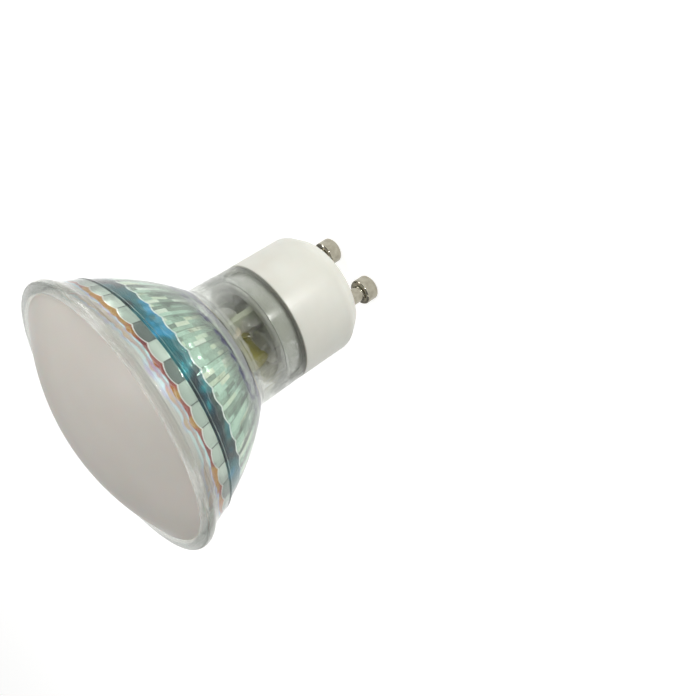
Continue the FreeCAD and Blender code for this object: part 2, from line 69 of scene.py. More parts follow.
# Heights and radii of the glass, in millimetres
NECK_FOOT = glass_low[2]
RIM_RADIUS = glass_high[0]
SHOULDER = glue_low[2]
NECK_BORE = 10.0
NECK_RADIUS = base_high[0]
SLEEVE_RADIUS = NECK_BORE - 0.2
SLEEVE_WALL = 1.4
NECK_TOP_RADIUS = NECK_RADIUS + 0.25
NECK_FILLET = 1.3
RECESS_RADIUS = NECK_BORE + 1.1
RECESS_DEPTH = 1.8
BOWL_FOOT_RADIUS = RECESS_RADIUS + 1.3
BOWL_ARC_RADIUS = 44.0
RIDGE = SHOULDER + 14.5
RIDGE_WIDTH = 0.5
RIDGE_RADIUS = RIM_RADIUS - 2.8
RIDGE_HEIGHT = 0.4
COLLAR_TOP = RIDGE + 3.5
COLLAR_RADIUS = RIM_RADIUS - 1.5
RIM_BACK = COLLAR_TOP + 1.8
RIM_FRONT = RIM_BACK + 1.2
FACE_INNER = glass_high[2]
SEAT_RADIUS = RIM_RADIUS - 1.9
SEAT = FACE_INNER - 2.0
COLLAR_LIP_RADIUS = SEAT_RADIUS - 1.5
STEP_RADIUS = COLLAR_LIP_RADIUS - 1.3
LIP_RADIUS = STEP_RADIUS - 0.8

# Number of flutes, and columns of points round the glass
FLUTES = 36
COLUMNS = FLUTES * 12

# Flutes and coat, in millimetres; the two ends are how sharply a flute's round end closes
FLUTE_RADIUS = 8.0
FLUTE_DEPTH = 0.42
FLUTE_ROOT_DEPTH = 0.16
FLUTE_TOP_DROP = 5.5
FLUTE_END = 1.1
FLUTE_ROOT_RISE = 0.8
SHORT_FLUTE_RADIUS = 16.3
SHORT_FLUTE_END = 1.28
SHORT_FLUTE_DEPTH = 0.23
SHORT_FLUTE_START = 0.1
SHORT_FLUTE_LENGTH = 0.4
BORE_RIPPLE = 0.03
GROOVE_EDGE = 0.06
COAT_GAP = -0.04
COAT_THICKNESS = 0.03

# Camera, found by fitting the lamp's outline to the picture: place and aim in metres, roll in degrees,
# focal length and width in pixels, sensor in millimetres
VIEW_PLACE = (-67.74 * MM, -160.2 * MM, 94.52 * MM)
VIEW_AIM = (-13.7 * MM, -3.77 * MM, 6.83 * MM)
VIEW_ROLL = 124.31
PICTURE_WIDTH = 696
FOCAL_PIXELS = 1107.5
SENSOR = 36.0


# Colour and nodes


def linear(hex_colour):
    """An sRGB hex colour as linear red, green, blue and full alpha."""
    channels = np.array([int(hex_colour[i:i + 2], 16) for i in (1, 3, 5)]) / 255
    low = channels / 12.92
    high = ((channels + 0.055) / 1.055) ** 2.4
    return (*np.where(channels <= 0.04045, low, high).tolist(), 1.0)


def put(tree, kind, inputs=None, stops=None, **settings):
    """Add a node: settings are its properties, inputs its sockets as values or (node, output), stops its
    ramp's places and colours.

    A Mix node of colours has them at inputs 6 and 7 and its result at output 2. A Map Range node has the
    range that it reads at inputs 1 and 2, and the range that it gives at 3 and 4.
    """
    item = tree.nodes.new(kind)
    for name, setting in settings.items():
        setattr(item, name, setting)
    for socket, source in (inputs or {}).items():
        if isinstance(source, tuple) and isinstance(source[0], bpy.types.Node):
            tree.links.new(source[0].outputs[source[1]], item.inputs[socket])
        else:
            item.inputs[socket].default_value = source
    for i, (place, colour) in enumerate(stops or []):
        elements = item.color_ramp.elements
        stop = elements[i] if i < 2 else elements.new(place)
        stop.position = place
        stop.color = linear(colour)
    return item


def new_material(name):
    """A material with its shader, its node tree and a node that gives Object coordinates."""
    made = bpy.data.materials.new(name)
    made.use_nodes = True
    tree = made.node_tree
    shader = tree.nodes["Principled BSDF"]
    place = put(tree, "ShaderNodeTexCoord")
    return made, tree, shader, place


def wire(tree, shader, **sources):
    """Link shader sockets, named with underscores for spaces, to (node, output) pairs."""
    for name, (item, output) in sources.items():
        tree.links.new(item.outputs[output], shader.inputs[name.replace("_", " ")])


def fix(shader, **values):
    """Set constant values on a shader's own sockets, named with underscores for spaces."""
    for name, number in values.items():
        shader.inputs[name.replace("_", " ")].default_value = number


# Shapes


def rounded(corners, radii, steps=5):
    """A line through corners whose corners are rounded: each becomes a short parabola that leaves the
    corner's two sides at the given distance from it, or at less than half of a shorter side."""
    corners = np.array(corners, float)
    pieces = []
    for i, corner in enumerate(corners):
        radius = radii[i]
        if i in (0, len(corners) - 1) or radius == 0:
            pieces.append(corner[None])
            continue
        before, after = corners[i - 1] - corner, corners[i + 1] - corner
        reach = min(radius, 0.45 * np.linalg.norm(before), 0.45 * np.linalg.norm(after))
        start = corner + before / np.linalg.norm(before) * reach
        end = corner + after / np.linalg.norm(after) * reach
        t = np.linspace(0, 1, steps)[:, None]
        pieces.append((1 - t) ** 2 * start + 2 * t * (1 - t) * corner + t ** 2 * end)
    return np.vstack(pieces)


def arc(start, end, radius, side, count):
    """Points on a circle's arc between two points, bulging to the right of the way for side +1."""
    start, end = np.array(start, float), np.array(end, float)
    way = end - start
    half = np.linalg.norm(way) / 2
    across = np.array([way[1], -way[0]]) / (2 * half) * side
    centre = (start + end) / 2 - across * math.sqrt(radius ** 2 - half ** 2)
    sweep = math.asin(half / radius)
    t = np.linspace(-sweep, sweep, count)[:, None]
    return centre + radius * (np.cos(t) * across + np.sin(t) * way / (2 * half))


def dense(line, spacing):
    """The same line with points added along it, no further apart than the spacing; its corners stay."""
    steps = np.linalg.norm(np.diff(line, axis=0), axis=1)
    counts = np.maximum(1, np.ceil(steps / spacing)).astype(int)
    at = np.concatenate([i + np.arange(n) / n for i, n in enumerate(counts)] + [[len(line) - 1]])
    index = np.arange(len(line))
    return np.stack([np.interp(at, index, line[:, 0]), np.interp(at, index, line[:, 1])], axis=1)


def swept_ring(radius, height, columns):
    """Points of a surface of revolution: radius and height may differ from column to column."""
    angle = np.arange(columns) * TURN / columns
    radius = np.broadcast_to(radius, (len(radius), columns))
    height = np.broadcast_to(height, radius.shape)
    return np.stack([radius * np.cos(angle), radius * np.sin(angle), height], axis=-1)


def grid_faces(rows, columns, wrap_rows):
    """Four-sided faces of a grid that closes on itself round its columns, and along its rows if asked."""
    row = np.arange(rows if wrap_rows else rows - 1)[:, None]
    column = np.arange(columns)[None, :]
    after_row = (row + 1) % rows
    after_column = (column + 1) % columns
    corners = [row * columns + column, row * columns + after_column]
    corners += [after_row * columns + after_column, after_row * columns + column]
    corners = [np.broadcast_to(corner, (len(row), columns)) for corner in corners]
    return np.stack(corners, axis=-1).reshape(-1, 4).tolist()


def make_piece(name, points, faces, finish, smooth_angle=40.0):
    """A mesh object from points in millimetres, with outward faces, soft shading and its finish."""
    mesh = bpy.data.meshes.new(name)
    mesh.from_pydata((points * MM).tolist(), [], faces)
    shell = bmesh.new()
    shell.from_mesh(mesh)
    bmesh.ops.recalc_face_normals(shell, faces=shell.faces)
    shell.to_mesh(mesh)
    shell.free()
    mesh.shade_smooth()
    mesh.set_sharp_from_angle(angle=math.radians(smooth_angle))
    mesh.materials.append(finish)
    piece = bpy.data.objects.new(name, mesh)
    bpy.context.scene.collection.objects.link(piece)
    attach(piece, "root")
    return piece


def turned_ring(name, line, columns, finish, **options):
    """A closed ring turned from a closed line of (radius, height) points."""
    points = swept_ring(line[:, :1], line[:, 1:], columns)
    return make_piece(name, points.reshape(-1, 3), grid_faces(len(line), columns, True), finish, **options)


def turned_solid(name, line, columns, finish, place=(0, 0, 0), **options):
    """A solid turned from a line whose two ends lie on the axis: the ends become single points."""
    inner = line[1:-1]
    points = swept_ring(inner[:, :1], inner[:, 1:], columns).reshape(-1, 3)
    tips = np.array([[0, 0, line[0, 1]], [0, 0, line[-1, 1]]])
    count = len(inner) * columns
    column = np.arange(columns)
    after = (column + 1) % columns
    last_row = count - columns
    first_fan = np.stack([np.full(columns, count), after, column], axis=1)
    last_fan = np.stack([np.full(columns, count + 1), last_row + column, last_row + after], axis=1)
    faces = grid_faces(len(inner), columns, False) + first_fan.tolist() + last_fan.tolist()
    points = np.vstack([points, tips]) + np.array(place)
    return make_piece(name, points, faces, finish, **options)


# The flutes pressed into the inside of the glass


def flute_depth(line, start, end, root_depth, top_depth, radius, shortness):
    """Depth of the flutes at each point of a line and each column: a round groove whose depth grows from
    root to top, with a rounded end. It is the depth less (across squared + past squared) / (2 x radius), or
    nothing, where past is how far a point lies beyond an end, times shortness at the top."""
    run = np.concatenate([[0], np.cumsum(np.linalg.norm(np.diff(line, axis=0), axis=1))])[:, None]
    share = (np.arange(COLUMNS)[None, :] * FLUTES / COLUMNS + 0.5) % 1 - 0.5
    across = share * TURN * line[:, :1] / FLUTES
    past = shortness * np.maximum(0, run - end) + 6 * np.maximum(0, start - run)
    deep = np.interp(run, [start, end], [root_depth, top_depth])
    return np.maximum(0, deep - (across ** 2 + past ** 2) / (2 * radius))


def side_normal(line):
    """Unit vectors square to a line, to the right of its way."""
    way = np.gradient(line, axis=0)
    way = way / np.linalg.norm(way, axis=1, keepdims=True)
    return np.stack([way[:, 1], -way[:, 0]], axis=1)


def fluted_inside():
    """The inside of the bowl and the collar, from root to seat: line, its normals, flute depth, and whether
    a point belongs to the bowl."""
    bowl = arc((RECESS_RADIUS, SHOULDER + RECESS_DEPTH), (LIP_RADIUS, RIDGE), BOWL_ARC_RADIUS, 1, 62)
    collar = dense(np.array([(STEP_RADIUS, RIDGE), (COLLAR_LIP_RADIUS, SEAT)]), 0.2)
    bowl_run = np.linalg.norm(np.diff(bowl, axis=0), axis=1).sum()
    bowl_depth = flute_depth(
        bowl, FLUTE_ROOT_RISE, bowl_run - FLUTE_TOP_DROP, FLUTE_ROOT_DEPTH, FLUTE_DEPTH, FLUTE_RADIUS,
        FLUTE_END,
    )
    collar_depth = flute_depth(
        collar, SHORT_FLUTE_START, SHORT_FLUTE_START + SHORT_FLUTE_LENGTH, SHORT_FLUTE_DEPTH,
        SHORT_FLUTE_DEPTH, SHORT_FLUTE_RADIUS, SHORT_FLUTE_END,
    )
    line = np.vstack([bowl, collar])
    normal = np.vstack([side_normal(bowl), side_normal(collar)])
    depth = np.vstack([bowl_depth, collar_depth])
    in_bowl = np.arange(len(line)) < len(bowl)
    return line, normal, depth, in_bowl


def glass_reflector(finish):
    """The glass: a smooth outside with the ridge ring and rim, and the fluted inside."""
    outside = [
        (NECK_BORE, NECK_FOOT),
        (NECK_RADIUS, NECK_FOOT),
        (NECK_TOP_RADIUS, SHOULDER - NECK_FILLET),
        (BOWL_FOOT_RADIUS, SHOULDER),
    ]
    lower = rounded(outside, [0, 0.5, 1.6, 0])[:-1]
    bowl = arc(outside[-1], (RIDGE_RADIUS - RIDGE_HEIGHT, RIDGE - RIDGE_WIDTH), BOWL_ARC_RADIUS, 1, 24)
    upper = [
        tuple(bowl[-1]),
        (RIDGE_RADIUS, RIDGE - RIDGE_WIDTH / 2),
        (RIDGE_RADIUS, RIDGE + RIDGE_WIDTH / 2),
        (COLLAR_RADIUS, COLLAR_TOP),
        (RIM_RADIUS, RIM_BACK),
        (RIM_RADIUS, RIM_FRONT),
        (SEAT_RADIUS, FACE_INNER),
        (SEAT_RADIUS, SEAT),
        (COLLAR_LIP_RADIUS, SEAT),
    ]
    upper = rounded(upper, [0, 0.2, 0.3, 1.2, 0.5, 0.6, 0.3, 0.1, 0])[1:-1]
    outer = np.vstack([lower, bowl, upper])
    inside, normal, depth, _ = fluted_inside()
    shelf = [
        (RECESS_RADIUS, SHOULDER + RECESS_DEPTH),
        (RECESS_RADIUS, SHOULDER),
        (NECK_BORE, SHOULDER),
        (NECK_BORE, NECK_FOOT),
    ]
    shelf = rounded(shelf, [0, 0.1, 0.2, 0])[1:-1]
    shelf = np.vstack([shelf[:-1], dense(np.array([shelf[-1], (NECK_BORE, NECK_FOOT)]), 0.35)[:-1]])
    fluted_radius = (inside[:, :1] + normal[:, :1] * depth)[::-1]
    fluted_height = (inside[:, 1:] + normal[:, 1:] * depth)[::-1]
    wide = np.ones((1, COLUMNS))
    angle = np.arange(COLUMNS)[None, :] * TURN / COLUMNS
    # The bore is slightly wavy: three crossing sine waves that fade out at the sleeve and the shoulder
    along = shelf[:, 1:] - NECK_FOOT
    ripple = np.sin(17 * angle + 2.1 * along) + np.sin(11 * angle - 3.3 * along + 1)
    ripple = ripple + np.sin(23 * angle + 0.7 * along)
    fade = np.clip((SHOULDER - 0.3 - shelf[:, 1:]) / 0.6, 0, 1) * np.clip(along - 3.6, 0, 1)
    radius = np.vstack([outer[:, :1] * wide, fluted_radius, shelf[:, :1] + BORE_RIPPLE * ripple * fade])
    height = np.vstack([outer[:, 1:] * wide, fluted_height, shelf[:, 1:] * wide])
    points = swept_ring(radius, height, COLUMNS)
    piece = make_piece(
        "clear_glass_reflector", points.reshape(-1, 3), grid_faces(len(radius), COLUMNS, True), finish,
        smooth_angle=28.0,
    )
    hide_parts("glass_reflector")
    return piece


def reflecting_coat(finish):
    """The coat on the inside of the glass: two skins a hair apart, each moved off the glass along its normal,
    with an attribute that is 1 in the flutes, 0 on the plain bands and in between at the flutes' edges."""
    line, normal, depth, in_bowl = fluted_inside()
    inset = depth - COAT_GAP
    front_r, front_z = line[:, :1] + normal[:, :1] * inset, line[:, 1:] + normal[:, 1:] * inset
    inset = inset - COAT_THICKNESS
    back_r, back_z = line[:, :1] + normal[:, :1] * inset, line[:, 1:] + normal[:, 1:] * inset
    points = swept_ring(np.vstack([front_r, back_r[::-1]]), np.vstack([front_z, back_z[::-1]]), COLUMNS)
    rows = 2 * len(line)
    piece = make_piece(
        "reflecting_coat", points.reshape(-1, 3), grid_faces(rows, COLUMNS, True), finish, smooth_angle=28.0
    )
    groove = np.clip(depth / GROOVE_EDGE, 0, 1)
    groove = np.vstack([groove, groove[::-1]])
    mark = piece.data.attributes.new("groove", "FLOAT", "POINT")
    mark.data.foreach_set("value", groove.astype(np.float32).ravel())
    return piece


def front_cover(finish):
    """The milky cover: an upright edge, a rounded brow and a dome that is part of a sphere, inside and out. A
    sphere's radius is (chord² + rise²) / (2 x rise)."""
    radius = cover_high[0]
    foot, crown = cover_low[2], cover_high[2]
    edge = foot + 1.3
    wall = 1.5
    brow = (radius - 0.6, edge + 0.3)
    rise = crown - brow[1]
    dome = (brow[0] ** 2 + rise ** 2) / (2 * rise)
    sweep = np.linspace(math.asin(brow[0] / dome), 0, 60)
    outer = np.stack([dome * np.sin(sweep), crown - dome + dome * np.cos(sweep)], axis=1)
    inner_rise = crown - wall - edge
    hollow = ((radius - wall) ** 2 + inner_rise ** 2) / (2 * inner_rise)
    sweep = np.linspace(0, math.asin((radius - wall) / hollow), 40)
    inner = np.stack([hollow * np.sin(sweep), crown - wall - hollow + hollow * np.cos(sweep)], axis=1)
    skirt = [inner[-1], (radius - wall, foot), (radius, foot), (radius, edge), brow, outer[1]]
    skirt = rounded(skirt, [0, 0.2, 0.2, 0.5, 0.5, 0])
    line = np.vstack([inner[:-1], skirt[1:-1], outer[1:]])
    piece = turned_solid("milky_front_cover", line, 192, finish)
    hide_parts("front_cover")
    return piece


def base_cap(finish):
    """The white base: a flat end, a chamfer with softened edges and a slightly drafted wall."""
    end_radius, waist_radius, chamfer, floor = 9.1, 11.15, 2.7, 3.0
    cavity_radius = SLEEVE_RADIUS - SLEEVE_WALL
    corners = [
        (0, 0),
        (end_radius, 0),
        (waist_radius, chamfer),
        (NECK_RADIUS, NECK_FOOT),
        (cavity_radius, NECK_FOOT),
        (cavity_radius, floor),
        (0, floor),
    ]
    line = dense(rounded(corners, [0, 0.6, 0.8, 0.25, 0.1, 0.4, 0], steps=8), 1.0)
    piece = turned_solid("white_base_cap", line, 160, finish, smooth_angle=50.0)
    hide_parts("base_cap")
    return piece


def base_sleeve(finish):
    """The thin sleeve of the base inside the glass neck, through which the light shines."""
    inner, top = SLEEVE_RADIUS - SLEEVE_WALL, base_high[2]
    corners = [
        (inner, NECK_FOOT),
        (SLEEVE_RADIUS, NECK_FOOT),
        (SLEEVE_RADIUS, top),
        (inner, top),
        (inner, NECK_FOOT),
    ]
    line = rounded(corners, [0, 0, 0.3, 0.3, 0])[:-1]
    piece = turned_ring("base_sleeve", line, 128, finish)
    return piece


def contact_pin(side, finish):
    """A turned pin: a bevelled head, a slim stem and a rivet head inside."""
    node = f"contact_pin_{side}"
    low, high = box_mm(node)
    head = (high[0] - low[0]) / 2
    stem, rivet, floor = 1.4, 1.75, 3.0
    back = low[2] + 2.9
    corners = [
        (0, low[2]),
        (head - 0.45, low[2]),
        (head, low[2] + 0.45),
        (head, back - 0.3),
        (head - 0.3, back),
        (stem + 0.05, back),
        (stem, back + 0.25),
        (stem, floor),
        (rivet, floor),
        (rivet, high[2]),
        (0, high[2]),
    ]
    line = rounded(corners, [0, 0.15, 0.15, 0.15, 0.12, 0.15, 0.1, 0.05, 0.1, 0.2, 0], steps=4)
    place = ((low[0] + high[0]) / 2, 0, 0)
    piece = turned_solid(f"nickel_pin_{side}", dense(line, 0.25), 96, finish, place, smooth_angle=30.0)
    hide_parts(node)
    return piece


# Finishes


def pressed_glass():
    """Clear pressed soda glass: sharp refraction, faintly green in its depth, slightly wavy from the mould.
    The thin neck is drawn in fine lengthwise ripples that glint, and the thick rim is clouded and paler."""
    made, tree, shader, place = new_material("clear_pressed_glass")
    axes = put(tree, "ShaderNodeSeparateXYZ", {0: (place, "Object")})
    rise = put(tree, "ShaderNodeMapRange", {0: (axes, 2), 1: NECK_FOOT * MM, 2: FACE_INNER * MM})
    tint = put(tree, "ShaderNodeValToRGB", {0: (rise, 0)}, stops=[
        (0.3, "#D8DBD2"), (0.4, "#EEF3EE"), (0.88, "#EEF3EE"), (0.94, "#F2F3EE")])
    clear = put(tree, "ShaderNodeValToRGB", {0: (rise, 0)}, stops=[
        (0.88, "#FFFFFF"), (0.94, "#D8D8D8")])
    # Thin glass hardly bends the light and lets most of it straight on, but along its skin it mirrors
    solid = put(tree, "ShaderNodeValToRGB", {0: (rise, 0)}, stops=[
        (0.3, "#868686"), (0.36, "#A8A8A8"), (0.55, "#F2F2F2"), (0.87, "#F2F2F2"), (0.92, "#BCBCBC")])
    skin = put(tree, "ShaderNodeLayerWeight", {"Blend": 0.4})
    whole = put(tree, "ShaderNodeMath", {0: (solid, 0), 1: (skin, "Facing")}, operation="MAXIMUM")
    wire(tree, shader, Base_Color=(tint, 0), Transmission_Weight=(clear, 0), Alpha=(whole, 0))
    fix(shader, Roughness=0.02, IOR=1.5)
    in_neck = put(tree, "ShaderNodeMapRange", {0: (axes, 2), 1: SHOULDER * MM, 2: (SHOULDER - 1.5) * MM})
    drawn = put(tree, "ShaderNodeMapping", {"Vector": (place, "Object"), "Scale": (1.0, 1.0, 0.3)})
    ripples = put(tree, "ShaderNodeTexNoise", {"Vector": (drawn, 0), "Scale": 1 / (0.8 * MM), "Detail": 3.0})
    lifted = put(tree, "ShaderNodeMath", {0: (ripples, 0), 1: (in_neck, 0)}, operation="MULTIPLY")
    waves = put(tree, "ShaderNodeTexNoise", {
        "Vector": (place, "Object"), "Scale": 1 / (5 * MM), "Detail": 1.0})
    swell = put(tree, "ShaderNodeBump", {"Height": (waves, 0), "Strength": 0.05, "Distance": 0.2 * MM})
    bump = put(tree, "ShaderNodeBump", {
        "Height": (lifted, 0), "Strength": 0.8, "Distance": 0.4 * MM, "Normal": (swell, 0)})
    wire(tree, shader, Normal=(bump, 0))
    absorb = put(tree, "ShaderNodeVolumeAbsorption", {"Color": linear("#B4BCB2"), "Density": 80.0})
    tree.links.new(absorb.outputs[0], tree.nodes["Material Output"].inputs["Volume"])
    return made


def coat_flutes(tree, axes, counted):
    """Long flutes of the coat: mint, broken into lighter and darker lengths where the coat is uneven, greyer
    near the root, with a thin dark line between one flute and the next."""
    split = put(tree, "ShaderNodeMath", {0: (counted, 0), 1: 4.0}, operation="MULTIPLY")
    strip = put(tree, "ShaderNodeMath", {0: (split, 0)}, operation="FLOOR")
    shift = put(tree, "ShaderNodeTexWhiteNoise", {"W": (strip, 0)}, noise_dimensions="1D")
    length = put(tree, "ShaderNodeMath", {
        0: (axes, 2), 1: 1 / (2.4 * MM), 2: (shift, 0)}, operation="MULTIPLY_ADD")
    step = put(tree, "ShaderNodeMath", {0: (length, 0)}, operation="FLOOR")
    pair = put(tree, "ShaderNodeCombineXYZ", {0: (strip, 0), 1: (step, 0)})
    tone = put(tree, "ShaderNodeTexWhiteNoise", {"Vector": (pair, 0)}, noise_dimensions="2D")
    each = put(tree, "ShaderNodeValToRGB", {0: (tone, 0)}, stops=[
        (0.0, "#84968A"), (0.2, "#9AAE9F"), (0.5, "#B2CEBD"), (0.75, "#C2DECE"), (0.9, "#DAE2C8"),
        (1.0, "#E0ECE4")])
    deep = put(tree, "ShaderNodeMapRange", {
        0: (axes, 2), 1: (SHOULDER + 7.0) * MM, 2: (SHOULDER + 5.0) * MM, 4: 0.8})
    sunk = put(tree, "ShaderNodeMix", {0: (deep, 0), 6: (each, 0), 7: linear("#93A094")}, data_type="RGBA")
    within = put(tree, "ShaderNodeMath", {0: (counted, 0)}, operation="FRACT")
    aside = put(tree, "ShaderNodeMath", {0: (within, 0), 1: 0.5}, operation="SUBTRACT")
    apart = put(tree, "ShaderNodeMath", {0: (aside, 0)}, operation="ABSOLUTE")
    seam = put(tree, "ShaderNodeMapRange", {0: (apart, 0), 1: 0.45, 2: 0.5, 4: 0.6})
    return put(tree, "ShaderNodeMix", {0: (seam, 0), 6: (sunk, 2), 7: linear("#5A665C")}, data_type="RGBA")


def coat_windows(tree, counted):
    """Short flutes of the coat: pale windows with a few dark ones among them, a line at the sides of each."""
    number = put(tree, "ShaderNodeMath", {0: (counted, 0)}, operation="FLOOR")
    chance = put(tree, "ShaderNodeTexWhiteNoise", {"W": (number, 0)}, noise_dimensions="1D")
    window = put(tree, "ShaderNodeValToRGB", {0: (chance, 0)}, stops=[
        (0.0, "#58625F"), (0.25, "#74807A"), (0.4, "#A3B2A8"), (0.7, "#C6D4C9"), (1.0, "#DCE4DC")])
    within = put(tree, "ShaderNodeMath", {0: (counted, 0)}, operation="FRACT")
    side = put(tree, "ShaderNodeValToRGB", {0: (within, 0)}, stops=[
        (0.035, "#FFFFFF"), (0.045, "#000000"), (0.95, "#000000"), (0.96, "#808080")])
    return put(tree, "ShaderNodeMix", {0: (side, 0), 6: (window, 0), 7: linear("#4A5350")}, data_type="RGBA")


def coat_plain_bands(tree, axes, ahead, patch):
    """Plain bands of the coat, whose colour wanders round the lamp with the thickness of the film: teal, navy
    and blue behind the ridge ring, red and orange ahead of it, with a pale lavender fringe up to the seat."""
    rear = put(tree, "ShaderNodeValToRGB", {0: (patch, 0)}, stops=[
        (0.28, "#3FA4DC"), (0.34, "#0F8FB4"), (0.39, "#066A74"), (0.46, "#046C76"), (0.5, "#03383E"),
        (0.56, "#041C24"), (0.61, "#0A4A5A"), (0.65, "#12909A"), (0.7, "#2FB4D0")])
    amber = put(tree, "ShaderNodeValToRGB", {0: (patch, 0)}, stops=[
        (0.36, "#7C2630"), (0.47, "#A03420"), (0.52, "#B88414"), (0.6, "#C07A14"), (0.67, "#BE5430")])
    broad = put(tree, "ShaderNodeValToRGB", {0: (patch, 0)}, stops=[(0.42, "#303030"), (0.58, "#FFFFFF")])
    pale = put(tree, "ShaderNodeValToRGB", {0: (patch, 0)}, stops=[
        (0.38, "#BFE6E6"), (0.48, "#B8D8EC"), (0.56, "#BDB4E2"), (0.64, "#CFCBE2")])
    lowered = put(tree, "ShaderNodeMath", {
        0: (broad, 0), 1: -0.8 * MM, 2: (axes, 2)}, operation="MULTIPLY_ADD")
    fringe = put(tree, "ShaderNodeMapRange", {0: (lowered, 0), 1: (RIDGE + 2.8) * MM, 2: (RIDGE + 2.95) * MM})
    beyond = put(tree, "ShaderNodeMapRange", {0: (lowered, 0), 1: (RIDGE + 3.2) * MM, 2: (RIDGE + 3.6) * MM})
    calm = put(tree, "ShaderNodeMix", {0: (beyond, 0), 6: (pale, 0), 7: linear("#CDCEC8")}, data_type="RGBA")
    front = put(tree, "ShaderNodeMix", {0: (fringe, 0), 6: (amber, 0), 7: (calm, 2)}, data_type="RGBA")
    return put(tree, "ShaderNodeMix", {0: (ahead, 0), 6: (rear, 0), 7: (front, 2)}, data_type="RGBA")


def coat_root(tree, axes, smear, above):
    """Colour of the coat with a violet line at the root of the bowl and a row of violet dashes above it."""
    rise = put(tree, "ShaderNodeMath", {0: (axes, 2), 1: (SHOULDER + 3.9) * MM}, operation="SUBTRACT")
    near = put(tree, "ShaderNodeMath", {0: (rise, 0)}, operation="ABSOLUTE")
    row = put(tree, "ShaderNodeMapRange", {0: (near, 0), 1: 0.6 * MM, 2: 0.4 * MM})
    dash = put(tree, "ShaderNodeMath", {0: (smear, 0), 1: 0.5}, operation="GREATER_THAN")
    dashes = put(tree, "ShaderNodeMath", {0: (row, 0), 1: (dash, 0)}, operation="MULTIPLY")
    dashed = put(tree, "ShaderNodeMix", {0: (dashes, 0), 6: above, 7: linear("#160A66")}, data_type="RGBA")
    rooted = put(tree, "ShaderNodeMapRange", {
        0: (axes, 2), 1: (SHOULDER + 3.0) * MM, 2: (SHOULDER + 2.6) * MM})
    return put(tree, "ShaderNodeMix", {
        0: (rooted, 0), 6: (dashed, 2), 7: linear("#160A60")}, data_type="RGBA")


def dichroic_coat():
    """Evaporated dichroic coat: a thin bright mirror whose colour runs from mint to teal, blue and amber.
    It has a painted highlight, a near-white line along the flutes' edges, and is slightly uneven, which
    breaks up what it mirrors."""
    made, tree, shader, place = new_material("evaporated_dichroic_coat")
    axes = put(tree, "ShaderNodeSeparateXYZ", {0: (place, "Object")})
    angle = put(tree, "ShaderNodeMath", {0: (axes, 1), 1: (axes, 0)}, operation="ARCTAN2")
    # Counts the flutes from well above nought, and changes number halfway between two of them
    counted = put(tree, "ShaderNodeMath", {
        0: (angle, 0), 1: FLUTES / TURN, 2: 100.5}, operation="MULTIPLY_ADD")
    groove = put(tree, "ShaderNodeAttribute", attribute_name="groove")
    smear = put(tree, "ShaderNodeTexNoise", {
        "Vector": (place, "Object"), "Scale": 1 / (1.2 * MM), "Detail": 4.0})
    patch = put(tree, "ShaderNodeTexNoise", {
        "Vector": (place, "Object"), "Scale": 1 / (7 * MM), "Detail": 3.0})
    ahead = put(tree, "ShaderNodeMath", {0: (axes, 2), 1: RIDGE * MM}, operation="GREATER_THAN")
    plain = coat_plain_bands(tree, axes, ahead, patch)
    flutes = coat_flutes(tree, axes, counted)
    windows = coat_windows(tree, counted)
    fluted = put(tree, "ShaderNodeMix", {0: (ahead, 0), 6: (flutes, 2), 7: (windows, 2)}, data_type="RGBA")
    low = put(tree, "ShaderNodeMath", {0: (axes, 2), 1: (SHOULDER + 6.0) * MM}, operation="LESS_THAN")
    kept = put(tree, "ShaderNodeMath", {0: (groove, "Fac"), 1: (low, 0)}, operation="MAXIMUM")
    surface = put(tree, "ShaderNodeMix", {0: (kept, 0), 6: (plain, 2), 7: (fluted, 2)}, data_type="RGBA")
    # Painted highlight: the colour turns near-white along the flutes' edges, where the groove attribute is
    # about one half
    edge = put(tree, "ShaderNodeMath", {0: (kept, 0), 1: 0.5}, operation="SUBTRACT")
    off_edge = put(tree, "ShaderNodeMath", {0: (edge, 0)}, operation="ABSOLUTE")
    edge_highlight = put(tree, "ShaderNodeMapRange", {0: (off_edge, 0), 1: 0.35, 2: 0.15})
    highlighted_surface = put(tree, "ShaderNodeMix", {
        0: (edge_highlight, 0), 6: (surface, 2), 7: linear("#F4F6F4")}, data_type="RGBA")
    colour = coat_root(tree, axes, smear, (highlighted_surface, 2))
    gloss = put(tree, "ShaderNodeMapRange", {0: (ahead, 0), 3: 0.12, 4: 0.28})
    bump = put(tree, "ShaderNodeBump", {"Height": (smear, 0), "Strength": 0.35, "Distance": 0.15 * MM})
    wire(tree, shader, Base_Color=(colour, 2), Roughness=(gloss, 0), Normal=(bump, 0))
    fix(shader, Metallic=0.9)
    return made


def opal_polycarbonate():
    """Opal polycarbonate, moulded satin: light spreads under the skin and the sheen is soft."""
    made, tree, shader, place = new_material("opal_polycarbonate")
    cloud = put(tree, "ShaderNodeTexNoise", {
        "Vector": (place, "Object"), "Scale": 1 / (14 * MM), "Detail": 2.0})
    tone = put(tree, "ShaderNodeValToRGB", {0: (cloud, 0)}, stops=[(0.3, "#C7C2B9"), (0.7, "#CEC9C1")])
    grain = put(tree, "ShaderNodeTexNoise", {
        "Vector": (place, "Object"), "Scale": 1 / (0.35 * MM), "Detail": 2.0})
    bump = put(tree, "ShaderNodeBump", {"Height": (grain, 0), "Strength": 0.04, "Distance": 0.05 * MM})
    wire(tree, shader, Base_Color=(tone, 0), Normal=(bump, 0))
    fix(shader, Roughness=0.34, IOR=1.58, Subsurface_Weight=0.25, Subsurface_Scale=2 * MM)
    return made


